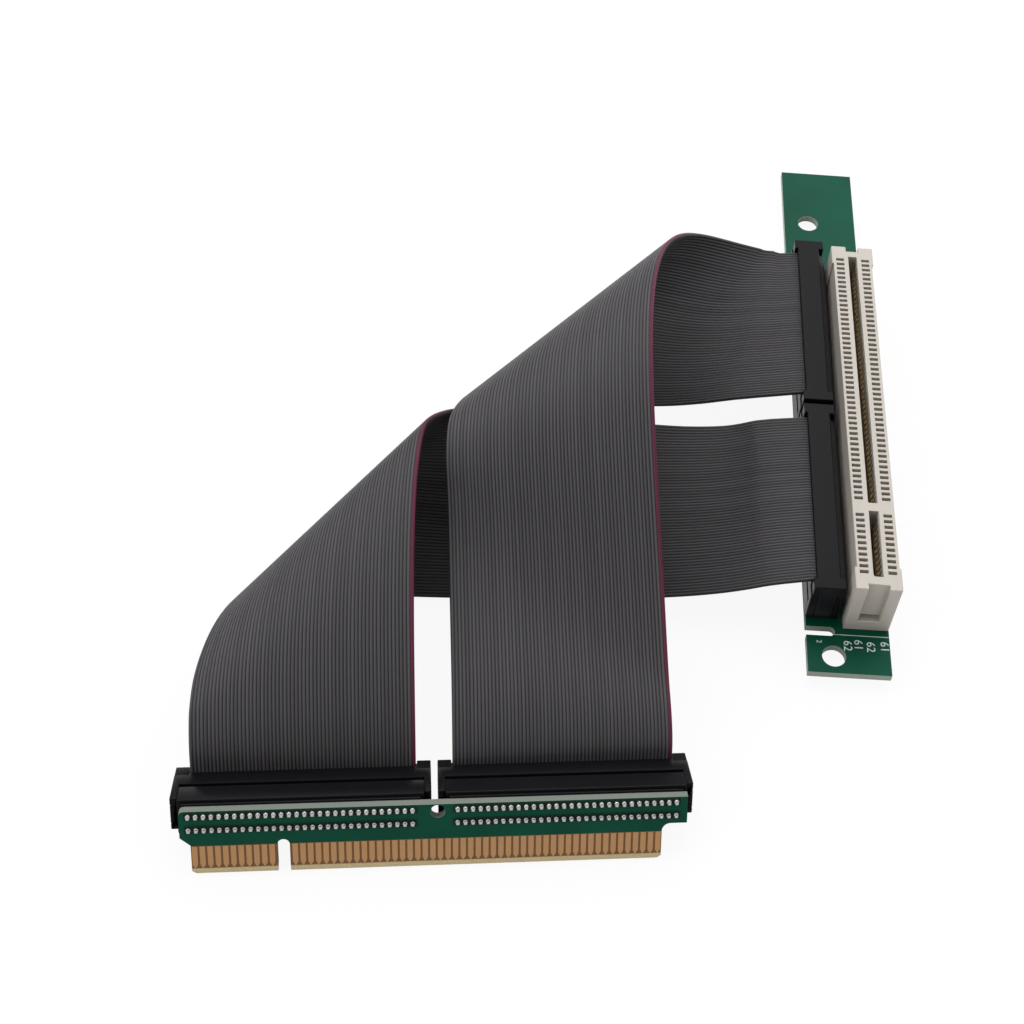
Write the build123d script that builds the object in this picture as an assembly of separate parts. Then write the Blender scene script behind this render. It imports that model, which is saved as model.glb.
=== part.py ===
from build123d import *
from math import atan2, cos, degrees, radians, sin
import os

os.makedirs("parts", exist_ok=True)

# Every length is in millimetres, every angle in degrees, and Z=0 is the surface the part lies on.

# Contact grid shared by the slot, the plug and the ribbon connectors
pitch = 1.27
contact_count = 62
key_contacts = (50, 51)
row_span = (contact_count - 1) * pitch
key_offset = (sum(key_contacts) / 2 - 1) * pitch

# Riser board, measured from the slot's centre line and from its first contact
board_thickness = 1.6
tail_length = 1.5
riser_x = 58.47
riser_y = 47.80
riser_top_margin = 35.695
riser_foot_margin = 9.585
riser_right_margin = 0.05
riser_left_margin = 2.9
mounting_hole_radius = 2.23
upper_hole_from_edge = 5.25
upper_hole_from_top = 15.64
lower_hole_from_edge = 4.97
lower_hole_from_foot = 3.59
notch_width = 1.9
notch_depth = 5.4
notch_from_foot = 8.84

# Slot housing
housing_half_width = 4.3
housing_height = 13.96
housing_end = 3.685
side_relief_depth = 0.35
end_block_length = 4.7
mouth_width = 1.8
mouth_depth = 8.5
mouth_over = 0.95
key_web = 1.8
window_centre = 2.61
window_width = 1.65
window_length = 0.72
window_bridge = 1.2
pocket_floor = 3.0
foot_recess_width = 4.0
foot_recess_depth = 1.0
foot_recess_floor = 3.0
foot_catch_height = 0.8
foot_catch_depth = 2.0
head_groove_width = 2.6
head_groove_depth = 1.3

# Slot contacts
contact_clearance = 0.11
contact_thickness = 0.3
contact_foot_height = 1.0
contact_reach = 0.65
contact_touch_height = 9.3
contact_touch_thickness = 0.4
contact_tip_height = 12.2
contact_tip_reach = 1.8
slot_tail_thickness = 0.3
slot_tail_width = 0.5

# Ribbon
wire_pitch = 0.635
wire_count = 60
ribbon_width = wire_count * wire_pitch
ribbon_thickness = 0.9
wrap_radius = 2.2
wrap_inset = 1.05
cut_end_inset = 0.2

# Ribbon connector: base, cover and strain relief, stacked on the board
pins_per_row = 30
pin_row_spacing = 2.54
pin_size = 0.5
pin_tail_length = 0.7
base_margin = 1.35
connector_half_width = 3.2
base_height = 4.6
base_foot_height = 0.4
base_foot_inset = 0.6
cover_post = 1.2
cover_nose_side = 2.8
cover_foot_gap = 1.0
nose_gap = 0.1
side_gap = 0.15
ear_drop = 0.7
ear_half_width = 3.0
relief_thickness = 1.2
relief_back = 2.0
relief_front = 2.4
leg_width = 3.4
leg_thickness = 0.9
leg_gap = 0.05
riser_connector_x = 8.3
riser_connector_first = 13.93
riser_connector_gap = 1.0

# Plug board, measured from the middle of its contact row and from its tip
plug_left = 41.06
plug_right = 43.6
plug_height = 12.25
tongue_over = 0.615
left_shoulder_height = 7.2
left_shoulder_drop = 1.5
right_shoulder_height = 7.1
right_shoulder_radius = 1.5
plug_corner_radius = 0.8
tip_corner = 0.6
tip_bevel_height = 1.0
tip_bevel_depth = 0.4
key_slot_width = 2.07
key_slot_depth = 6.4
finger_width = 0.92
finger_top = 5.53
finger_shoulder = 2.0
finger_bottom = 1.15
finger_thickness = 0.05
plug_hole_radius = 1.25
plug_hole_x = 1.5
plug_hole_from_top = 1.4
plug_connector_from_top = 2.2
plug_connector_gap = 1.14
plug_connectors_middle = 1.06

# Where the plug lies: it leans on its tip and on the low edge of its connectors
plug_x = -18.644
plug_y = -83.849
plug_heading = 5.429

# Free run of each ribbon: a flat strip rolled on creases. At even steps from the plug to the riser,
# the fold of a square crease, and the slant of the crease from square.
left_run = {
    "length": 147.81,
    "folds": (8.97, 5.93, 7.39, 12.11, 16.30, 16.21,
              11.26, 5.60, 0.90, 1.94, 5.52, -15.67),
    "slants": (-7.05, 16.01, 40.99, 49.95, 35.93, 46.47,
               57.53, 58.47, 46.65, 25.95, 1.15, -4.95),
}
right_run = {
    "length": 150.74,
    "folds": (21.85, 2.39, -6.34, -3.73, 5.50, 7.69,
              9.95, 11.01, 15.21, 16.90, 7.52, -13.58),
    "slants": (3.84, -11.42, -35.00, -27.63, 3.60, 24.38,
               42.93, 46.69, 46.15, 47.26, 27.53, -8.81),
}
crease_count = 44
settle_from = 0.7

# Lengths and heights of a connector, above its board
base_length = ribbon_width + 2 * base_margin
cover_length = base_length + 2 * cover_post
lower_layer_top = base_height + ribbon_thickness
wrap_height = base_height + ribbon_thickness / 2 + wrap_radius
wrap_inner_radius = wrap_radius - ribbon_thickness / 2
wrap_outer_radius = wrap_radius + ribbon_thickness / 2
cover_top = wrap_height + wrap_inner_radius
relief_floor = cover_top + ribbon_thickness
connector_height = relief_floor + relief_thickness
route_height = cover_top + ribbon_thickness / 2
plug_connector_y = plug_height - plug_connector_from_top
ear_start = ribbon_width / 2 + side_gap
ear_floor = cover_top - ear_drop

# Frames: the riser lies flat, the plug leans on two edges
riser_z = tail_length + board_thickness
riser_frame = Plane(origin=(riser_x, riser_y, riser_z))
tip_back = board_thickness - tip_bevel_depth
lean_rise = board_thickness + connector_height - tip_back
lean_run = plug_connector_y - connector_half_width
plug_lean = degrees(atan2(lean_rise, lean_run))
plug_across = Vector(cos(radians(plug_heading)), sin(radians(plug_heading)), 0)
plug_back = Vector(-sin(radians(plug_heading)), cos(radians(plug_heading)), 0)
plug_front = plug_back * -sin(radians(plug_lean)) + Vector(0, 0, cos(radians(plug_lean)))
plug_z = tip_back * plug_front.Z
plug_frame = Plane(origin=(plug_x, plug_y, plug_z), x_dir=plug_across, z_dir=plug_front)


def block(x0, x1, y0, y1, z0, z1):
    """A box between two corners."""
    size = Box(abs(x1 - x0), abs(y1 - y0), z1 - z0, align=(Align.MIN, Align.MIN, Align.MIN))
    return Pos(min(x0, x1), min(y0, y1), z0) * size


def outline(points):
    """A flat face inside a closed outline."""
    return make_face(Polyline(*points, close=True))


def contact_numbers():
    """Contacts that a keyed edge carries."""
    return [k for k in range(1, contact_count + 1) if k not in key_contacts]


def save(name, *shapes):
    """Write one node, as one solid or as a group of separate solids."""
    solids = [solid for shape in shapes for solid in shape.solids()]
    shape = solids[0] if len(solids) == 1 else Compound(children=solids)
    shape.label = name
    export_step(shape, os.path.join("parts", name + ".step"))


def riser_board():
    """Long narrow board with two holes, cut in at its left edge."""
    left = -riser_connector_x - riser_left_margin
    right = housing_half_width + riser_right_margin
    top = housing_end + riser_top_margin
    foot = -row_span - housing_end - riser_foot_margin
    board = outline([(left, foot), (right, foot), (right, top), (left, top)])
    hole = Circle(mounting_hole_radius)
    board -= Pos(left + upper_hole_from_edge, top - upper_hole_from_top) * hole
    board -= Pos(left + lower_hole_from_edge, foot + lower_hole_from_foot) * hole
    notch = SlotCenterToCenter(2 * notch_depth - notch_width, notch_width)
    board -= Pos(left, foot + notch_from_foot) * notch
    return extrude(board, -board_thickness)


def chamber(side):
    """Chamber of one contact: a window in the top, and a throat into the mouth."""
    outer = window_centre + window_width / 2
    inner = window_centre - window_width / 2
    bridge = housing_height - window_bridge
    points = [
        (outer, housing_height), (outer, pocket_floor), (mouth_width / 2, pocket_floor),
        (mouth_width / 2, bridge), (inner, bridge), (inner, housing_height),
    ]
    face = outline([(side * x, z) for x, z in points])
    return extrude(Plane.XZ * face, window_length / 2, both=True)


def slot_housing():
    """Moulded slot: keyed mouth, two rows of chambers, relieved sides, recessed ends."""
    head = housing_end
    foot = -row_span - housing_end
    half = housing_half_width
    body = block(-half, half, foot, head, 0, housing_height)
    cuts = []
    for side in (-1, 1):
        relief = side * (half - side_relief_depth)
        cuts.append(block(relief, side * half, foot + end_block_length, head - end_block_length,
                          0, housing_height))
    mouths = ((mouth_over, key_web / 2 - key_offset), (-key_web / 2 - key_offset, -row_span - mouth_over))
    for y0, y1 in mouths:
        cuts.append(block(-mouth_width / 2, mouth_width / 2, y1, y0,
                          housing_height - mouth_depth, housing_height))
    recess = foot_recess_width / 2
    cuts.append(block(-recess, recess, foot, foot + foot_recess_depth,
                      foot_recess_floor, housing_height))
    cuts.append(block(-recess, recess, foot, foot + foot_catch_depth,
                      foot_recess_floor, foot_recess_floor + foot_catch_height))
    groove = head_groove_width / 2
    cuts.append(block(-groove, groove, head - head_groove_depth, head, 0, housing_height))
    for side in (-1, 1):
        cuts += slot_row(chamber(side))
    return body.cut(*cuts)


def spring(side):
    """Contact spring: it stands on its chamber's floor and bows into the mouth."""
    outer = window_centre + contact_thickness / 2
    inner = window_centre - contact_thickness / 2
    points = [
        (inner, pocket_floor), (outer, pocket_floor), (outer, pocket_floor + contact_foot_height),
        (contact_reach + contact_touch_thickness, contact_touch_height),
        (contact_tip_reach, contact_tip_height), (contact_reach, contact_touch_height),
    ]
    face = outline([(side * x, z) for x, z in points])
    return extrude(Plane.XZ * face, window_length / 2 - contact_clearance, both=True)


def slot_row(contact):
    """A row along the slot, with one copy of a piece at each contact."""
    return [Pos(0, -(k - 1) * pitch, 0) * contact for k in contact_numbers()]


def slot_tail(side):
    """Soldered tail of a slot contact, under the board."""
    half_x = slot_tail_thickness / 2
    half_y = slot_tail_width / 2
    x = side * window_centre
    return block(x - half_x, x + half_x, -half_y, half_y, -board_thickness - tail_length, -board_thickness)


def connector_base():
    """Pin block on the board, on a narrower foot."""
    half = base_length / 2
    inset = base_foot_inset
    width = connector_half_width
    body = block(-half, half, -width, width, base_foot_height, base_height)
    foot = block(inset - half, half - inset, inset - width, width - inset, 0, base_foot_height)
    return body + foot


def connector_cover():
    """Pressing cover: a round nose for the ribbon, and end posts outside the base."""
    half = cover_length / 2
    width = connector_half_width
    nose_y = nose_gap - wrap_inset
    nose = ThreePointArc((nose_y, lower_layer_top), (nose_y - wrap_inner_radius, wrap_height),
                         (nose_y, cover_top))
    rest = Polyline((nose_y, cover_top), (width, cover_top), (width, lower_layer_top),
                    (nose_y, lower_layer_top))
    body = extrude(Plane.YZ * make_face([nose, rest]), half, both=True)
    for side in (-1, 1):
        end = side * half
        post = side * base_length / 2
        cap = side * ear_start
        groove = side * (half - leg_thickness)
        leg = leg_width / 2 + leg_gap
        body += block(post, end, -cover_nose_side, width, cover_foot_gap, cover_top)
        body -= block(cap, end, -width, width, ear_floor, cover_top)
        body -= block(groove, end, -leg, leg, cover_foot_gap, ear_floor)
    return body


def strain_relief():
    """Bar over the ribbon, with an ear and a leg at each end."""
    half = cover_length / 2
    body = block(-half, half, -relief_back, relief_front, relief_floor, connector_height)
    for side in (-1, 1):
        end = side * half
        leg = leg_width / 2
        body += block(side * ear_start, end, -ear_half_width, ear_half_width, ear_floor, connector_height)
        body += block(side * (half - leg_thickness + leg_gap), end, -leg, leg, cover_foot_gap, ear_floor)
    return body


def pin_tails():
    """Tails of a connector's two rows of pins, on the far face of its board."""
    half = pin_size / 2
    tail = block(-half, half, -half, half, -board_thickness - pin_tail_length, -board_thickness)
    first = -(pins_per_row - 1) / 2 * pitch
    rows = (-pin_row_spacing / 2, pin_row_spacing / 2)
    return [Pos(first + i * pitch, y, 0) * tail for y in rows for i in range(pins_per_row)]


def plug_board():
    """Keyed edge board: bevelled tongue, stepped shoulders, and a hole between the connectors."""
    tongue = row_span / 2 + tongue_over
    radius = right_shoulder_radius
    shoulder = right_shoulder_height
    corner = tip_corner
    centre = (tongue + radius, shoulder - radius)
    edge = [
        Polyline((tongue, centre[1]), (tongue, corner), (tongue - corner, 0), (corner - tongue, 0),
                 (-tongue, corner), (-tongue, left_shoulder_height - left_shoulder_drop),
                 (-plug_left, left_shoulder_height), (-plug_left, plug_height),
                 (plug_right, plug_height), (plug_right, shoulder), (centre[0], shoulder)),
        CenterArc(centre, radius, 90, 90),
    ]
    board = make_face(edge)
    board -= Pos(plug_hole_x, plug_height - plug_hole_from_top) * Circle(plug_hole_radius)
    key_x = row_span / 2 - key_offset
    key_end = key_slot_depth - key_slot_width / 2
    board -= Pos(key_x, 0) * SlotCenterToCenter(2 * key_end, key_slot_width, rotation=90)
    body = extrude(board, -board_thickness)
    back = -board_thickness
    for face, inward in ((0, -tip_bevel_depth), (back, back + tip_bevel_depth)):
        wedge = outline([(0, face), (tip_bevel_height, face), (0, inward)])
        body -= extrude(Plane.YZ * wedge, plug_right, both=True)
    corner_edge = body.edges().filter_by(Axis.Z).sort_by_distance((-plug_left, plug_height, back / 2))[0]
    return fillet(corner_edge, plug_corner_radius)


def plug_fingers(z):
    """One face's row of gold fingers, from the bevel up, each drawn to a point at the tip."""
    half = finger_width / 2
    face = outline([(-half, finger_top), (-half, finger_shoulder), (0, finger_bottom),
                    (half, finger_shoulder), (half, finger_top)])
    finger = Pos(0, 0, z) * extrude(face, finger_thickness)
    return [Pos(row_span / 2 - (k - 1) * pitch, 0, 0) * finger for k in contact_numbers()]


def wrap(free_end):
    """The ribbon inside a connector: pressed layer, turn round the cover's nose, and upper layer."""
    y = -wrap_inset
    cut_end = connector_half_width - cut_end_inset
    edge = [
        Polyline((y, base_height), (cut_end, base_height), (cut_end, lower_layer_top), (y, lower_layer_top)),
        ThreePointArc((y, lower_layer_top), (y - wrap_inner_radius, wrap_height), (y, cover_top)),
        Polyline((y, cover_top), (free_end, cover_top), (free_end, relief_floor), (y, relief_floor)),
        ThreePointArc((y, relief_floor), (y - wrap_outer_radius, wrap_height), (y, base_height)),
    ]
    return extrude(Plane.YZ * make_face(edge), ribbon_width / 2, both=True)


def turn(vector, axis, angle):
    """Turn a vector about an axis through the origin."""
    return vector.rotate(Axis((0, 0, 0), axis), degrees(angle))


def between(values, share):
    """Value on an even row of values, a share of the way along it."""
    place = share * (len(values) - 1)
    i = min(int(place), len(values) - 2)
    return values[i] + (values[i + 1] - values[i]) * (place - i)


def roll_strip(start, ahead, across, run):
    """Creases of a rolled strip: share of its length, middle, half reach, and mitre for its thickness."""
    half = ribbon_width / 2
    step = run["length"] / crease_count
    point = start
    creases = [(0, point, across * half, across.cross(ahead))]
    for i in range(crease_count):
        share = (i + 0.5) / crease_count
        slant = radians(between(run["slants"], share))
        point += ahead * (step if i else step / 2)
        crease = across * cos(slant) + ahead * sin(slant)
        fold = radians(between(run["folds"], share)) * cos(slant)
        mitre = turn(across.cross(ahead), crease, -fold / 2) / cos(fold / 2)
        creases.append((share, point, crease * (half / cos(slant)), mitre))
        ahead = turn(ahead, crease, -fold)
        across = turn(across, crease, -fold)
    creases.append((1, point + ahead * (step / 2), across * half, across.cross(ahead)))
    return creases, across


def settle(creases, across, goal, goal_ahead, goal_across):
    """Ease the last stretch of a rolled strip onto the riser's connector."""
    end = creases[-1][1]
    twist = atan2(across.cross(goal_across).dot(goal_ahead), across.dot(goal_across))
    settled = []
    for share, middle, reach, mitre in creases[:-1]:
        rest = max(0, (share - settle_from) / (1 - settle_from))
        blend = rest * rest * (3 - 2 * rest)
        middle = goal + turn(middle + (goal - end) * blend - goal, goal_ahead, twist * blend)
        settled.append((middle, turn(reach, goal_ahead, twist * blend),
                        turn(mitre, goal_ahead, twist * blend)))
    settled.append((goal, goal_across * (ribbon_width / 2), goal_across.cross(goal_ahead)))
    return settled


def facets(sections):
    """Solid through a row of four-cornered sections, in flat facets."""
    faces = [outline(sections[0]), outline(sections[-1])]
    for near, far in zip(sections, sections[1:]):
        for i in range(4):
            j = (i + 1) % 4
            faces.append(outline([near[i], near[j], far[j]]))
            faces.append(outline([near[i], far[j], far[i]]))
    return Solid(Shell(faces))


def ribbon(plug_connector, riser_connector, run):
    """One ribbon, whole: wrapped in the plug's connector, free, and wrapped in the riser's."""
    mouth = Vector(0, connector_half_width, route_height)
    start = plug_connector.from_local_coords(mouth)
    goal = riser_connector.from_local_coords(mouth)
    creases, across = roll_strip(start, plug_connector.y_dir, -plug_connector.x_dir, run)
    sections = []
    for middle, reach, mitre in settle(creases, across, goal, -riser_connector.y_dir, riser_connector.x_dir):
        lift = mitre * (ribbon_thickness / 2)
        left = middle - reach
        right = middle + reach
        sections.append([left - lift, right - lift, right + lift, left + lift])
    free = facets(sections)
    ends = [connector.location * wrap(connector_half_width) for connector in (plug_connector, riser_connector)]
    return free.fuse(*ends)


def connector_plane(frame, x, y, face, along, up):
    """Frame of a connector: along its row, towards its ribbon, and away from its board."""
    origin = frame.from_local_coords(Vector(x, y, face))
    return Plane(origin=origin, x_dir=along, z_dir=up)


riser_place = riser_frame.location
plug_place = plug_frame.location
save("riser_board", riser_place * riser_board())
save("slot_housing", riser_place * slot_housing())
save("slot_springs_a", *[riser_place * piece for piece in slot_row(spring(-1))])
save("slot_springs_b", *[riser_place * piece for piece in slot_row(spring(1))])
save("slot_tails", *[riser_place * piece for side in (-1, 1) for piece in slot_row(slot_tail(side))])
save("plug_board", plug_place * plug_board())
save("plug_fingers_front", *[plug_place * piece for piece in plug_fingers(0)])
back_fingers = plug_fingers(-board_thickness - finger_thickness)
save("plug_fingers_back", *[plug_place * piece for piece in back_fingers])

connectors = {}
for name, row in (("riser_upper", 0), ("riser_lower", 1)):
    y = -riser_connector_first - row * (cover_length + riser_connector_gap)
    connectors[name] = connector_plane(riser_frame, -riser_connector_x, y, 0,
                                       riser_frame.y_dir, riser_frame.z_dir)
for name, side in (("plug_left", -1), ("plug_right", 1)):
    x = plug_connectors_middle + side * (cover_length + plug_connector_gap) / 2
    connectors[name] = connector_plane(plug_frame, x, plug_connector_y, -board_thickness,
                                       -plug_frame.x_dir, -plug_frame.z_dir)
for name, plane in connectors.items():
    place = plane.location
    save(name + "_base", place * connector_base())
    save(name + "_cover", place * connector_cover())
    save(name + "_strain_relief", place * strain_relief())
    save(name + "_pins", *[place * piece for piece in pin_tails()])

save("ribbon_lower", ribbon(connectors["plug_left"], connectors["riser_lower"], left_run))
save("ribbon_upper", ribbon(connectors["plug_right"], connectors["riser_upper"], right_run))
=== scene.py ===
from math import atan2, cos, pi, radians, sin

import bmesh
import bpy
from bpy.props import FloatProperty, FloatVectorProperty, IntProperty, PointerProperty
from mathutils import Matrix, Vector


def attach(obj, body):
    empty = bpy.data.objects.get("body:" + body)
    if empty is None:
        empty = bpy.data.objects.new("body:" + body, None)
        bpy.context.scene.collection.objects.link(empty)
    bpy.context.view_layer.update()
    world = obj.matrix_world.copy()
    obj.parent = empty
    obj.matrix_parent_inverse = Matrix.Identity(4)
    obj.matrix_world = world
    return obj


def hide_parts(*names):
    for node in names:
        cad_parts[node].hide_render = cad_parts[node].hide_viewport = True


bl_info = {
    "name": "Ribbon Riser Extension",
    "version": (1, 0, 0),
    "blender": (4, 5, 0),
    "location": "View3D > Sidebar > Riser",
    "description": "Dresses the packed riser board, slot, plug and their two ribbons",
    "category": "Object",
}

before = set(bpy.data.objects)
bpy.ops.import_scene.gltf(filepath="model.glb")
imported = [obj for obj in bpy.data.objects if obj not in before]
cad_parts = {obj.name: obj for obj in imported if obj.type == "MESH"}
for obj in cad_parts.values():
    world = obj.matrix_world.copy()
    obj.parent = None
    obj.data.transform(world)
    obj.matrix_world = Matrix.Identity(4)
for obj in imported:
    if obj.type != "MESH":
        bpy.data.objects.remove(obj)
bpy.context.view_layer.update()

MM = 0.001

# Places shared with the part's source, in millimetres
RISER = Matrix.Translation(Vector((58.47, 47.80, 3.1)) * MM)
PLUG_ORIGIN = Vector((-18.644, -83.849, 0.6141)) * MM
PLUG_RIGHT = Vector((0.995514, 0.094613, 0.0))
PLUG_UP = Vector((-0.048417, 0.509451, 0.859136))
PLUG_FRONT = Vector((0.081285, -0.855283, 0.511747))
PITCH = 1.27 * MM
CONTACTS = [k for k in range(1, 63) if k not in (50, 51)]
SLOT_TAIL_ROW = 2.61 * MM
BOARD = 1.6 * MM

# The plug board's pins and tongue, from its tip and from the middle of its contacts
PIN_HEIGHT = 10.05 * MM
PINS_MIDDLE = 1.06 * MM
PINS_NEAREST = 2.9 * MM
PINS_FARTHEST = 41.3 * MM
# Distances from a pin row at which the painted shade band is clear and full
PIN_SHADE_CLEAR = 1.0 * MM
PIN_SHADE_FULL = 0.5 * MM
BARE_TONGUE = 5.6 * MM
TIP_TOP = 1.1 * MM
TIP_END = 1.3 * MM

# Ribbon and connector sizes, shared with the part's source
WIRES = 60
RIBBON_WIDTH = 38.1 * MM
RIBBON_THICKNESS = 0.9 * MM
WRAP_RADIUS = 2.2 * MM
WRAP_INSET = 1.05 * MM
WRAP_STEPS = 12
CONNECTOR_HALF = 3.2 * MM
LOWER_LAYER = 5.05 * MM
ROUTE_HEIGHT = 9.45 * MM
CUT_END = 1.2 * MM
CREASES = 44
SETTLE_FROM = 0.7
ROWS_PER_CREASE = 3
PINS_PER_ROW = 30
LEFT_RUN = {
    "length": 147.81 * MM,
    "folds": (8.97, 5.93, 7.39, 12.11, 16.30, 16.21,
              11.26, 5.60, 0.90, 1.94, 5.52, -15.67),
    "slants": (-7.05, 16.01, 40.99, 49.95, 35.93, 46.47,
               57.53, 58.47, 46.65, 25.95, 1.15, -4.95),
}
RIGHT_RUN = {
    "length": 150.74 * MM,
    "folds": (21.85, 2.39, -6.34, -3.73, 5.50, 7.69,
              9.95, 11.01, 15.21, 16.90, 7.52, -13.58),
    "slants": (3.84, -11.42, -35.00, -27.63, 3.60, 24.38,
               42.93, 46.69, 46.15, 47.26, 27.53, -8.81),
}

# Camera, read from the photograph's vanishing lines
CAMERA_PLACE = Vector((-7.698, -214.236, 289.577)) * MM
CAMERA_RIGHT = Vector((0.997279, 0.026610, 0.068748))
CAMERA_UP = Vector((-0.063025, 0.791518, 0.607888))
CAMERA_AHEAD = Vector((0.038239, 0.610567, -0.791041))


def axes(origin, x_axis, y_axis, z_axis):
    """Matrix of a local frame from its origin and its three axes."""
    turned = Matrix((x_axis, y_axis, z_axis)).transposed().to_4x4()
    return Matrix.Translation(origin) @ turned


PLUG = axes(PLUG_ORIGIN, PLUG_RIGHT, PLUG_UP, PLUG_FRONT)
CONNECTORS = {
    "riser_upper": RISER @ axes(Vector((-8.3, -13.93, 0)) * MM, (0, 1, 0), (-1, 0, 0), (0, 0, 1)),
    "riser_lower": RISER @ axes(Vector((-8.3, -58.13, 0)) * MM, (0, 1, 0), (-1, 0, 0), (0, 0, 1)),
    "plug_left": PLUG @ axes(Vector((-21.11, 10.05, -1.6)) * MM, (-1, 0, 0), (0, 1, 0), (0, 0, -1)),
    "plug_right": PLUG @ axes(Vector((23.23, 10.05, -1.6)) * MM, (-1, 0, 0), (0, 1, 0), (0, 0, -1)),
}


class RiserSettings(bpy.types.PropertyGroup):
    """Sizes and colours of the finish that a user would change."""

    rib_depth: FloatProperty(
        name="Rib Depth", description="Depth of the groove between two wires of a ribbon",
        default=0.19 * MM, unit="LENGTH", precision=5)
    rib_points: IntProperty(
        name="Rib Points", description="Points across one wire of a ribbon",
        default=4, min=2, max=8)
    edge_rounding: FloatProperty(
        name="Edge Rounding", description="Radius on the edges of the moulded plastic",
        default=0.18 * MM, unit="LENGTH", precision=5)
    solder_radius: FloatProperty(
        name="Solder Radius", description="Radius of a solder joint on its pad",
        default=0.60 * MM, unit="LENGTH", precision=5)
    solder_height: FloatProperty(
        name="Solder Height", description="Height of a solder joint up its pin",
        default=0.5 * MM, unit="LENGTH", precision=5)
    ribbon_colour: FloatVectorProperty(
        name="Ribbon", description="Colour of the ribbon's wires",
        default=(0.066, 0.062, 0.067), subtype="COLOR", min=0, max=1)
    stripe_colour: FloatVectorProperty(
        name="Stripe", description="Colour of the first wire of a ribbon",
        default=(0.082, 0.014, 0.032), subtype="COLOR", min=0, max=1)
    board_colour: FloatVectorProperty(
        name="Board", description="Colour of the solder mask",
        default=(0.0022, 0.054, 0.031), subtype="COLOR", min=0, max=1)
    plastic_colour: FloatVectorProperty(
        name="Connector", description="Colour of the ribbon connectors",
        default=(0.005, 0.005, 0.006), subtype="COLOR", min=0, max=1)
    slot_colour: FloatVectorProperty(
        name="Slot", description="Colour of the slot's housing",
        default=(0.425, 0.39, 0.345), subtype="COLOR", min=0, max=1)
    gold_colour: FloatVectorProperty(
        name="Gold", description="Colour of the gold fingers",
        default=(0.37, 0.205, 0.095), subtype="COLOR", min=0, max=1)


# Materials


def new_material(name, colour, roughness, metallic=0.0):
    """A principled material with its constants set on the shader itself."""
    material = bpy.data.materials.new(name)
    material.use_nodes = True
    shader = material.node_tree.nodes["Principled BSDF"]
    shader.inputs["Base Color"].default_value = (*colour, 1)
    shader.inputs["Roughness"].default_value = roughness
    shader.inputs["Metallic"].default_value = metallic
    return material, material.node_tree, shader


def node(tree, kind, values=(), **settings):
    """A node with its settings, and its inputs by number or name."""
    made = tree.nodes.new("ShaderNode" + kind)
    for key, value in settings.items():
        setattr(made, key, value)
    for key, value in dict(values).items():
        if hasattr(value, "links"):
            tree.links.new(value, made.inputs[key])
        else:
            made.inputs[key].default_value = value
    return made


def maths(tree, operation, first, second=0.0):
    """One step of arithmetic on numbers or sockets."""
    return node(tree, "Math", {0: first, 1: second}, operation=operation).outputs[0]


def object_place(tree):
    """Object coordinates of the surface."""
    return node(tree, "TexCoord").outputs["Object"]


def grain(tree, scale, detail=3.0, place=None):
    """Noise whose scale counts grains per metre."""
    source = place if place else object_place(tree)
    return node(tree, "TexNoise", {"Vector": source, "Scale": scale, "Detail": detail}).outputs["Fac"]


def spread(tree, value, low, high):
    """A value from 0 to 1 laid out between two others."""
    return node(tree, "MapRange", {"Value": value, "To Min": low, "To Max": high}).outputs["Result"]


def ramp(tree, value, start, end):
    """A value between two others laid out from 0 to 1."""
    return node(tree, "MapRange", {"Value": value, "From Min": start, "From Max": end}).outputs["Result"]


def dot(tree, vector, direction):
    """A vector's reach along a direction."""
    return node(tree, "VectorMath", {0: vector, 1: direction}, operation="DOT_PRODUCT").outputs["Value"]


def background_rays(tree):
    """1 for the rays that see the white background: camera, glossy and transmission rays."""
    rays = node(tree, "LightPath")
    bounced = maths(tree, "MAXIMUM", rays.outputs["Is Glossy Ray"], rays.outputs["Is Transmission Ray"])
    return maths(tree, "MAXIMUM", rays.outputs["Is Camera Ray"], bounced)


def mix_colours(tree, share, first, second):
    """Mix of two colours, each a colour or a socket."""
    mix = node(tree, "Mix", data_type="RGBA")
    for number, value in ((0, share), (6, first), (7, second)):
        if hasattr(value, "links"):
            tree.links.new(value, mix.inputs[number])
        elif number:
            mix.inputs[number].default_value = (*value, 1)
        else:
            mix.inputs[number].default_value = value
    return mix.outputs[2]


def bump(tree, shader, height, distance, strength=1.0):
    """Relief on the shader's normal."""
    relief = node(tree, "Bump", {"Height": height, "Distance": distance, "Strength": strength})
    tree.links.new(relief.outputs["Normal"], shader.inputs["Normal"])


def shade(colour, factor):
    """A colour made lighter or darker."""
    return tuple(min(1.0, channel * factor) for channel in colour)


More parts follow.
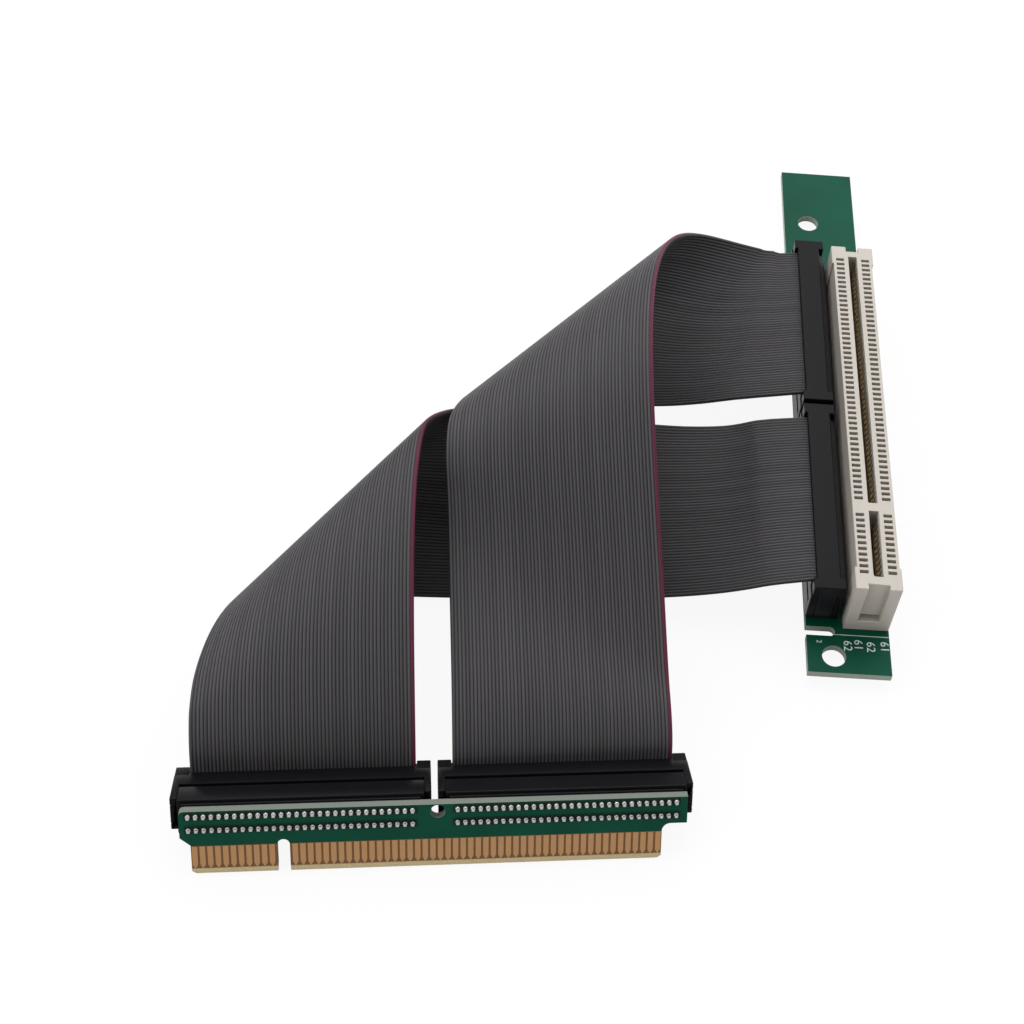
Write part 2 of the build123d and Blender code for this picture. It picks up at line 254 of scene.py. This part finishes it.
def ribbon_material(settings):
    """Soft PVC over sixty wires, the last one dyed, with painted shade in the grooves between the wires.
    """
    base = tuple(settings.ribbon_colour)
    material, tree, shader = new_material("Ribbon PVC", base, 0.42)
    across = node(tree, "SeparateXYZ", {0: node(tree, "UVMap", uv_map="ribbon").outputs["UV"]})
    wire = maths(tree, "MULTIPLY", across.outputs["X"], float(WIRES))
    number = maths(tree, "FLOOR", wire)
    own = node(tree, "TexWhiteNoise", {"W": number}, noise_dimensions="1D").outputs["Value"]
    # Painted shade: each wire's colour darkens towards the grooves on both its sides.
    inside = maths(tree, "ABSOLUTE", maths(tree, "SUBTRACT", maths(tree, "FRACT", wire), 0.5))
    groove = ramp(tree, inside, 0.16, 0.46)
    patches = grain(tree, 60.0, 2.0)
    tone = mix_colours(tree, own, shade(base, 0.82), shade(base, 1.14))
    tone = mix_colours(tree, spread(tree, patches, 0.0, 0.5), tone, shade(base, 0.85))
    tone = mix_colours(tree, maths(tree, "MULTIPLY", groove, 0.95), tone, shade(base, 0.16))
    dyed = maths(tree, "COMPARE", number, WIRES - 1.0)
    tone = mix_colours(tree, dyed, tone, tuple(settings.stripe_colour))
    tree.links.new(tone, shader.inputs["Base Color"])
    tree.links.new(spread(tree, grain(tree, 900.0), 0.34, 0.50), shader.inputs["Roughness"])
    shader.inputs["Specular IOR Level"].default_value = 0.12
    bump(tree, shader, grain(tree, 5000.0, 2.0), 0.00002)
    return material


def board_material(name, settings, up, laminate, bare_below=None):
    """Solder mask on both faces of a board, and bare laminate on its edges and contact tongue."""
    mask = tuple(settings.board_colour)
    material, tree, shader = new_material(name, mask, 0.25)
    place = object_place(tree)
    facing = dot(tree, node(tree, "TexCoord").outputs["Normal"], up)
    edge = maths(tree, "LESS_THAN", maths(tree, "ABSOLUTE", facing), 0.8)
    copper = grain(tree, 90.0, 1.0)
    weave = node(tree, "TexWave", {"Vector": place, "Scale": 900.0, "Distortion": 0.6},
                 bands_direction="DIAGONAL").outputs["Fac"]
    green = mix_colours(tree, spread(tree, copper, 0.0, 1.0), shade(mask, 0.72), shade(mask, 1.35))
    green = mix_colours(tree, maths(tree, "MULTIPLY", weave, 0.12), green, shade(mask, 1.8))
    fibres = mix_colours(tree, grain(tree, 4000.0), shade(laminate, 0.75), shade(laminate, 1.15))
    if bare_below:
        height = maths(tree, "SUBTRACT", dot(tree, place, PLUG_UP), PLUG_ORIGIN.dot(PLUG_UP))
        # Painted shade: a dark band on the mask between the soldered pins.
        green = mix_colours(tree, pin_row_shade(tree, place, height), green, (0.006, 0.010, 0.008))
        tongue = maths(tree, "LESS_THAN", height, bare_below)
        tip = ramp(tree, height, TIP_TOP, TIP_END)
        bare = mix_colours(tree, tip, (0.56, 0.45, 0.26), (0.175, 0.092, 0.043))
        green = mix_colours(tree, tongue, green, bare)
        edge = maths(tree, "MULTIPLY", edge, tip)
    tree.links.new(mix_colours(tree, edge, green, fibres), shader.inputs["Base Color"])
    tree.links.new(spread(tree, edge, 0.42, 0.7), shader.inputs["Roughness"])
    shader.inputs["Specular IOR Level"].default_value = 0.07
    bump(tree, shader, grain(tree, 1400.0), 0.00003)
    return material


def pin_row_shade(tree, place, height):
    """Painted shade, dark between the plug board's soldered pins, as a share of the surface."""
    off_row = maths(tree, "ABSOLUTE", maths(tree, "SUBTRACT", height, PIN_HEIGHT))
    off_row = maths(tree, "ABSOLUTE", maths(tree, "SUBTRACT", off_row, PITCH))
    band = ramp(tree, off_row, PIN_SHADE_CLEAR, PIN_SHADE_FULL)
    middle = PLUG_ORIGIN.dot(PLUG_RIGHT) + PINS_MIDDLE
    across = maths(tree, "ABSOLUTE", maths(tree, "SUBTRACT", dot(tree, place, PLUG_RIGHT), middle))
    there = maths(tree, "MULTIPLY", maths(tree, "GREATER_THAN", across, PINS_NEAREST),
                  maths(tree, "LESS_THAN", across, PINS_FARTHEST))
    patchy = spread(tree, grain(tree, 700.0, 2.0), 0.45, 1.0)
    return maths(tree, "MULTIPLY", maths(tree, "MULTIPLY", band, there), patchy)


def plastic_material(name, colour, roughness, mottle, gloss):
    """Moulded plastic with a fine eroded surface."""
    material, tree, shader = new_material(name, colour, roughness)
    shader.inputs["Specular IOR Level"].default_value = gloss
    clouds = grain(tree, 140.0, 4.0)
    tone = mix_colours(tree, clouds, shade(colour, 1 - mottle), shade(colour, 1 + mottle))
    tree.links.new(tone, shader.inputs["Base Color"])
    tree.links.new(spread(tree, grain(tree, 700.0), roughness - 0.08, roughness + 0.1),
                   shader.inputs["Roughness"])
    bump(tree, shader, grain(tree, 6000.0, 2.0), 0.000012)
    return material


def metal_material(name, colour, roughness, stain, metallic=0.9):
    """Plated or soldered metal with slight staining."""
    material, tree, shader = new_material(name, colour, roughness, metallic)
    clouds = grain(tree, 1500.0, 4.0)
    tone = mix_colours(tree, clouds, shade(colour, 1 - stain), shade(colour, 1 + stain * 0.6))
    tree.links.new(tone, shader.inputs["Base Color"])
    tree.links.new(spread(tree, grain(tree, 3500.0), roughness - 0.08, roughness + 0.12),
                   shader.inputs["Roughness"])
    bump(tree, shader, grain(tree, 9000.0, 2.0), 0.00001)
    return material


def ink_material():
    """White print on the solder mask."""
    material, tree, shader = new_material("White Print", (0.62, 0.66, 0.62), 0.6)
    worn = grain(tree, 2500.0)
    tree.links.new(mix_colours(tree, worn, (0.42, 0.50, 0.46), (0.74, 0.77, 0.74)),
                   shader.inputs["Base Color"])
    return material


# Pieces


def add_piece(name, shape, slot, *materials):
    """A finished piece at the origin, riding on the part, from its bmesh."""
    mesh = bpy.data.meshes.new(name)
    shape.to_mesh(mesh)
    shape.free()
    for material in materials:
        mesh.materials.append(material)
    piece = bpy.data.objects.new(name, mesh)
    bpy.context.scene.collection.objects.link(piece)
    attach(piece, "root")
    return piece


def finish_node(name, material):
    """A carried-over node gets its material."""
    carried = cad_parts[name]
    carried.data.materials.clear()
    carried.data.materials.append(material)


def turn(vector, axis, angle):
    """A vector turned about an axis through the origin."""
    return Matrix.Rotation(angle, 3, axis) @ vector


def between(values, share):
    """Value on an even row of values, a share of the way along it."""
    place = share * (len(values) - 1)
    i = min(int(place), len(values) - 2)
    return values[i] + (values[i + 1] - values[i]) * (place - i)


def roll_strip(start, ahead, across, run):
    """Creases of a rolled strip: share of its length, middle, half reach, and normal."""
    half = RIBBON_WIDTH / 2
    step = run["length"] / CREASES
    point = start.copy()
    creases = [(0, point.copy(), across * half, across.cross(ahead))]
    for i in range(CREASES):
        share = (i + 0.5) / CREASES
        slant = radians(between(run["slants"], share))
        point = point + ahead * (step if i else step / 2)
        crease = across * cos(slant) + ahead * sin(slant)
        fold = radians(between(run["folds"], share)) * cos(slant)
        normal = turn(across.cross(ahead), crease, -fold / 2)
        creases.append((share, point.copy(), crease * (half / cos(slant)), normal))
        ahead = turn(ahead, crease, -fold)
        across = turn(across, crease, -fold)
    creases.append((1, point + ahead * (step / 2), across * half, across.cross(ahead)))
    return creases, across


def settle(creases, across, goal, goal_ahead, goal_across):
    """Ease the last stretch of a rolled strip onto the riser's connector."""
    end = creases[-1][1]
    twist = atan2(across.cross(goal_across).dot(goal_ahead), across.dot(goal_across))
    settled = []
    for share, middle, reach, normal in creases[:-1]:
        rest = max(0, (share - SETTLE_FROM) / (1 - SETTLE_FROM))
        blend = rest * rest * (3 - 2 * rest)
        middle = goal + turn(middle + (goal - end) * blend - goal, goal_ahead, twist * blend)
        settled.append((middle, turn(reach, goal_ahead, twist * blend),
                        turn(normal, goal_ahead, twist * blend)))
    settled.append((goal, goal_across * (RIBBON_WIDTH / 2), goal_across.cross(goal_ahead)))
    return settled


def wrap_rows(connector, side):
    """Rows of the ribbon inside a connector, from its cut end round the nose."""
    centre = (LOWER_LAYER + ROUTE_HEIGHT) / 2
    flat = [(CUT_END, LOWER_LAYER, -pi / 2)]
    for i in range(WRAP_STEPS + 1):
        angle = -pi / 2 - pi * i / WRAP_STEPS
        flat.append((WRAP_RADIUS * cos(angle) - WRAP_INSET, WRAP_RADIUS * sin(angle) + centre, angle))
    turned = connector.to_3x3()
    reach = turned @ Vector((side * RIBBON_WIDTH / 2, 0, 0))
    return [(connector @ Vector((0, y, z)), reach, turned @ Vector((0, -cos(angle), -sin(angle))))
            for y, z, angle in flat]


def ribbon_rows(plug, riser, run):
    """Rows of one whole ribbon, from its cut end in the plug's connector to the one in the riser's."""
    mouth = Vector((0, CONNECTOR_HALF, ROUTE_HEIGHT))
    plug_turn = plug.to_3x3()
    riser_turn = riser.to_3x3()
    creases, across = roll_strip(plug @ mouth, plug_turn.col[1].copy(), -plug_turn.col[0], run)
    free = settle(creases, across, riser @ mouth, -riser_turn.col[1], riser_turn.col[0].copy())
    return wrap_rows(plug, -1) + soften(free[:-3] + free[-1:]) + wrap_rows(riser, 1)[::-1]


def soften(rows):
    """Three rows for each crease, on smooth curves through the creases' ends."""
    ends = [(middle - reach, middle + reach, normal) for middle, reach, normal in rows]
    softened = []
    for i in range(len(ends) - 1):
        before, near, far, after = (ends[max(0, min(len(ends) - 1, i + k))] for k in (-1, 0, 1, 2))
        for step in range(ROWS_PER_CREASE):
            share = step / ROWS_PER_CREASE
            points = []
            for edge in (0, 1):
                points.append(curve_between(before[edge], near[edge], far[edge], after[edge], share))
            normal = near[2].slerp(far[2], share)
            softened.append(((points[0] + points[1]) / 2, (points[1] - points[0]) / 2, normal))
    softened.append(rows[-1])
    return softened


def curve_between(before, near, far, after, share):
    """Point on a smooth curve between two points, with tangents held to the shorter side."""
    gap = (far - near).length
    ahead = tangent(before, near, far) * gap
    onward = tangent(near, far, after) * gap
    s = share
    return (near * (2 * s ** 3 - 3 * s ** 2 + 1) + ahead * (s ** 3 - 2 * s ** 2 + s)
            + far * (3 * s ** 2 - 2 * s ** 3) + onward * (s ** 3 - s ** 2))


def tangent(before, here, after):
    """Direction at a point between two others."""
    way = Vector((0, 0, 0))
    if (here - before).length > 1e-7:
        way += (here - before).normalized()
    if (after - here).length > 1e-7:
        way += (after - here).normalized()
    return way.normalized()


def rib_profile(settings):
    """Points round a ribbon's section: share across, and height, over and under."""
    crown = RIBBON_THICKNESS / 2
    steps = settings.rib_points
    top = []
    for i in range(WIRES * steps + 1):
        inside = (i % steps) / steps
        height = crown - settings.rib_depth * (1 - sin(pi * inside)) ** 1.5
        top.append([i / (WIRES * steps), height])
    top[0][1] = top[-1][1] = crown * 0.12
    under = [[share, -height] for share, height in reversed(top)]
    return top + under


def place_on(row, point):
    """A point of the section, on its row."""
    middle, reach, normal = row
    share, height = point
    return middle + reach * (2 * share - 1) + normal * height


def make_ribbon(name, node_name, plug, riser, run, material):
    """One ribbon: a grid whose rows take the ribbed section along the rolled strip."""
    settings = bpy.context.scene.riser_settings
    rows = ribbon_rows(CONNECTORS[plug], CONNECTORS[riser], run)
    profile = rib_profile(settings)
    ring = len(profile) + 1
    half = len(profile) / 2
    shape = bmesh.new()
    bmesh.ops.create_grid(shape, x_segments=ring - 1, y_segments=len(rows) - 1, size=1)
    shape.verts.ensure_lookup_table()
    along = [0.0]
    for i in range(1, len(rows)):
        along.append(along[-1] + (rows[i][0] - rows[i - 1][0]).length)
    uv = shape.loops.layers.uv.new("ribbon")
    for face in shape.faces:
        face.smooth = True
        columns = [corner.vert.index % ring % len(profile) for corner in face.loops]
        on_edge = min(columns) < half <= max(columns)
        for corner, column in zip(face.loops, columns):
            under = 0 if on_edge or column < half else 2
            corner[uv].uv = (under + min(profile[column][0], 0.999), along[corner.vert.index // ring])
    for vert in shape.verts:
        vert.co = place_on(rows[vert.index // ring], profile[vert.index % ring % len(profile)])
    seam = [vert for vert in shape.verts if vert.index % ring in (0, ring - 1)]
    bmesh.ops.remove_doubles(shape, verts=seam, dist=1e-7)
    bmesh.ops.holes_fill(shape, edges=[edge for edge in shape.edges if edge.is_boundary], sides=0)
    bmesh.ops.recalc_face_normals(shape, faces=shape.faces)
    piece = add_piece(name, shape, "ribbon", material)
    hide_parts(node_name)
    return piece


def rounded_copy(node_name, slot, material, shortest=0.0):
    """A moulded piece with its long edges rounded, standing for its node."""
    settings = bpy.context.scene.riser_settings
    shape = bmesh.new()
    shape.from_mesh(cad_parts[node_name].data)
    bmesh.ops.remove_doubles(shape, verts=shape.verts, dist=1e-6)
    bmesh.ops.dissolve_limit(shape, angle_limit=radians(1), verts=shape.verts, edges=shape.edges)
    edges = [edge for edge in shape.edges if edge.is_manifold and edge.is_convex
             and edge.calc_face_angle() > radians(40) and edge.calc_length() > shortest]
    bmesh.ops.bevel(shape, geom=edges, offset=settings.edge_rounding, offset_type="OFFSET", segments=2,
                    profile=0.5, affect="EDGES", material=-1, clamp_overlap=True)
    piece = add_piece(node_name + "_moulding", shape, slot, material)
    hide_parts(node_name)
    return piece


def solder_joints(name, base, spots, material):
    """Solder fillets, each drawn up its pin, at spots on the face of a board."""
    settings = bpy.context.scene.riser_settings
    radius = settings.solder_radius
    height = settings.solder_height
    shape = bmesh.new()
    for x, y in spots:
        place = base @ Matrix.Translation((x, y, height / 2))
        joint = bmesh.ops.create_cone(shape, cap_ends=True, segments=10, radius1=radius,
                                      radius2=radius * 0.55, depth=height, matrix=place)["verts"]
        top = base @ Vector((x, y, height))
        shoulder = [edge for edge in {edge for vert in joint for edge in vert.link_edges}
                    if all((vert.co - top).length < radius * 0.6 for vert in edge.verts)]
        bmesh.ops.bevel(shape, geom=shoulder, offset=radius * 0.22, offset_type="OFFSET", segments=2,
                        profile=0.5, affect="EDGES", material=-1, clamp_overlap=True)
    for face in shape.faces:
        face.smooth = True
    return add_piece(name, shape, "tin", material)


def pin_spots():
    """Places of a connector's two rows of pins, in its own frame."""
    first = -(PINS_PER_ROW - 1) / 2 * PITCH
    return [(first + i * PITCH, y) for y in (-PITCH, PITCH) for i in range(PINS_PER_ROW)]


# Operators


class RISER_OT_ribbons(bpy.types.Operator):
    """Make the two ribbed ribbons"""

    bl_idname = "riser.ribbons"
    bl_label = "Ribbons"

    def execute(self, context):
        material = ribbon_material(context.scene.riser_settings)
        make_ribbon("ribbon_lower_wires", "ribbon_lower", "plug_left", "riser_lower", LEFT_RUN, material)
        make_ribbon("ribbon_upper_wires", "ribbon_upper", "plug_right", "riser_upper", RIGHT_RUN, material)
        return {"FINISHED"}


class RISER_OT_boards(bpy.types.Operator):
    """Finish the riser board and the plug board"""

    bl_idname = "riser.boards"
    bl_label = "Boards"

    def execute(self, context):
        settings = context.scene.riser_settings
        # The plug board's laminate takes a darker tone than the riser's: painted shade on its edges.
        riser = board_material("Riser Solder Mask", settings, Vector((0, 0, 1)), (0.30, 0.34, 0.29))
        plug = board_material("Plug Solder Mask", settings, PLUG_FRONT, (0.18, 0.20, 0.175),
                              BARE_TONGUE)
        finish_node("riser_board", riser)
        finish_node("plug_board", plug)
        return {"FINISHED"}


class RISER_OT_contacts(bpy.types.Operator):
    """Finish the gold fingers, the slot's springs and every soldered tail"""

    bl_idname = "riser.contacts"
    bl_label = "Contacts"

    def execute(self, context):
        gold = metal_material("Finger Gold", tuple(context.scene.riser_settings.gold_colour), 0.36, 0.12)
        spring = metal_material("Spring Metal", (0.80, 0.58, 0.25), 0.4, 0.2, 0.4)
        tin = metal_material("Tinned Pins", (0.48, 0.47, 0.45), 0.28, 0.2)
        for name in ("plug_fingers_front", "plug_fingers_back"):
            finish_node(name, gold)
        for name in ("slot_springs_a", "slot_springs_b"):
            finish_node(name, spring)
        for name in ("slot_tails", *(connector + "_pins" for connector in CONNECTORS)):
            finish_node(name, tin)
        return {"FINISHED"}


class RISER_OT_solder(bpy.types.Operator):
    """Make the solder joints on the far face of each board"""

    bl_idname = "riser.solder"
    bl_label = "Solder Joints"

    def execute(self, context):
        solder = metal_material("Solder", (0.30, 0.30, 0.29), 0.2, 0.6)
        for name, base in CONNECTORS.items():
            face = base @ Matrix.Translation((0, 0, -BOARD)) @ Matrix.Rotation(pi, 4, "X")
            solder_joints(name + "_solder", face, [(x, -y) for x, y in pin_spots()], solder)
        under = RISER @ Matrix.Translation((0, 0, -BOARD)) @ Matrix.Rotation(pi, 4, "X")
        spots = [(side * SLOT_TAIL_ROW, (k - 1) * PITCH) for side in (-1, 1) for k in CONTACTS]
        solder_joints("slot_solder", under, spots, solder)
        return {"FINISHED"}


class RISER_OT_mouldings(bpy.types.Operator):
    """Round and finish the connectors and the slot's housing"""

    bl_idname = "riser.mouldings"
    bl_label = "Mouldings"

    def execute(self, context):
        settings = context.scene.riser_settings
        black = plastic_material("Connector Plastic", tuple(settings.plastic_colour), 0.30, 0.2, 0.06)
        cream = plastic_material("Slot Plastic", tuple(settings.slot_colour), 0.42, 0.05, 0.5)
        for name in CONNECTORS:
            for part in ("_base", "_cover", "_strain_relief"):
                rounded_copy(name + part, "connector", black)
        rounded_copy("slot_housing", "slot", cream, 3.0 * MM)
        return {"FINISHED"}


class RISER_OT_print(bpy.types.Operator):
    """Print plain digits and a line on the riser board"""

    bl_idname = "riser.print"
    bl_label = "Board Print"

    def execute(self, context):
        ink = ink_material()
        for i, (text, x, y, size) in enumerate((
                ("61", 3.3, -84.6, 2.3), ("62", 0.7, -84.8, 2.3), ("61", -1.6, -84.5, 2.3),
                ("62", -3.6, -84.8, 2.3), ("2", -8.9, -84.2, 1.4))):
            self.add_text("board_digits_%d" % (i + 1), text, x * MM, y * MM, size * MM, ink)
        shape = bmesh.new()
        flat = RISER @ Matrix.Translation(Vector((-0.9, -82.5, 0.01)) * MM)
        flat = flat @ Matrix.Diagonal((10.4 * MM, 0.14 * MM, 0.02 * MM, 1))
        bmesh.ops.create_cube(shape, size=1, matrix=flat)
        add_piece("board_line", shape, "board", ink)
        return {"FINISHED"}

    def add_text(self, name, text, x, y, size, ink):
        """One group of digits, turned a quarter, as a thin flat mesh."""
        curve = bpy.data.curves.new(name, "FONT")
        curve.body = text
        curve.size = size
        curve.align_x = "CENTER"
        curve.align_y = "CENTER"
        curve.resolution_u = 3
        letters = bpy.data.objects.new(name + "_outline", curve)
        mesh = bpy.data.meshes.new_from_object(letters)
        shape = bmesh.new()
        shape.from_mesh(mesh)
        bpy.data.objects.remove(letters)
        place = RISER @ Matrix.Translation((x, y, 0.02 * MM)) @ Matrix.Rotation(-pi / 2, 4, "Z")
        bmesh.ops.transform(shape, matrix=place, verts=shape.verts)
        add_piece(name, shape, "board", ink)


class RISER_OT_stage(bpy.types.Operator):
    """Set the pale floor, the soft lights and the camera"""

    bl_idname = "riser.stage"
    bl_label = "Stage"

    def execute(self, context):
        scene = context.scene
        self.add_floor()
        self.set_world(scene)
        lights = (
            ("key", (-0.2, 0.52, 0.80), 0.9, 8.8),
            ("left", (-0.88, -0.30, 0.42), 1.0, 7.4),
            ("right", (0.80, -0.45, 0.42), 0.9, 2.8),
            ("back", (0.60, 0.60, 0.55), 0.9, 5.2),
        )
        for name, place, size, watts in lights:
            self.add_light(scene, name, Vector(place), size, watts)
        self.add_camera(scene)
        scene.view_settings.view_transform = "Standard"
        return {"FINISHED"}

    def add_floor(self):
        """A wide white floor under the object, lifted towards white for the camera."""
        material, tree, shader = new_material("Floor", (0.86, 0.86, 0.86), 0.9)
        glow = node(tree, "Emission", {"Color": (1, 1, 1, 1), "Strength": 1.0})
        share = maths(tree, "MULTIPLY", background_rays(tree), 0.92)
        mix = node(tree, "MixShader", {0: share, 1: shader.outputs[0], 2: glow.outputs[0]})
        tree.links.new(mix.outputs[0], tree.nodes["Material Output"].inputs["Surface"])
        shape = bmesh.new()
        bmesh.ops.create_grid(shape, x_segments=1, y_segments=1, size=4,
                              matrix=Matrix.Translation((0, 0, -0.05 * MM)))
        mesh = bpy.data.meshes.new("floor")
        shape.to_mesh(mesh)
        shape.free()
        mesh.materials.append(material)
        floor = bpy.data.objects.new("floor", mesh)
        bpy.context.scene.collection.objects.link(floor)

    def set_world(self, scene):
        """Plain white surroundings, full white to the camera and in reflections."""
        world = bpy.data.worlds.new("Studio")
        scene.world = world
        world.use_nodes = True
        tree = world.node_tree
        shown = tree.nodes["Background"]
        shown.inputs["Color"].default_value = (1, 1, 1, 1)
        tree.links.new(spread(tree, background_rays(tree), 0.18, 1.0), shown.inputs["Strength"])

    def add_light(self, scene, name, place, size, watts):
        """A soft square light aimed at the object."""
        light = bpy.data.lights.new(name, "AREA")
        light.size = size
        light.energy = watts
        lamp = bpy.data.objects.new(name, light)
        lamp.location = place
        lamp.rotation_euler = (-place).to_track_quat("-Z", "Y").to_euler()
        scene.collection.objects.link(lamp)

    def add_camera(self, scene):
        """The photograph's camera."""
        lens = bpy.data.cameras.new("camera")
        lens.sensor_width = 36
        lens.lens = 64.095
        lens.shift_x = -0.077276
        lens.shift_y = -0.068852
        lens.clip_start = 0.01
        camera = bpy.data.objects.new("camera", lens)
        camera.matrix_world = axes(CAMERA_PLACE, CAMERA_RIGHT, CAMERA_UP, -CAMERA_AHEAD)
        scene.collection.objects.link(camera)
        scene.camera = camera


class RISER_PT_panel(bpy.types.Panel):
    """Lists the finish's settings and its steps"""

    bl_idname = "RISER_PT_panel"
    bl_label = "Ribbon Riser"
    bl_space_type = "VIEW_3D"
    bl_region_type = "UI"
    bl_category = "Riser"

    def draw(self, context):
        for name in RiserSettings.__annotations__:
            self.layout.prop(context.scene.riser_settings, name)
        for step in STEPS:
            self.layout.operator(step.bl_idname)


STEPS = (RISER_OT_stage, RISER_OT_ribbons, RISER_OT_boards, RISER_OT_contacts, RISER_OT_mouldings,
         RISER_OT_solder, RISER_OT_print)
CLASSES = (RiserSettings, *STEPS, RISER_PT_panel)


def register():
    for kind in CLASSES:
        bpy.utils.register_class(kind)
    bpy.types.Scene.riser_settings = PointerProperty(type=RiserSettings)


def unregister():
    del bpy.types.Scene.riser_settings
    for kind in reversed(CLASSES):
        bpy.utils.unregister_class(kind)


def main():
    register()
    for step in STEPS:
        family, action = step.bl_idname.split(".")
        getattr(getattr(bpy.ops, family), action)()


if __name__ == "__main__":
    main()
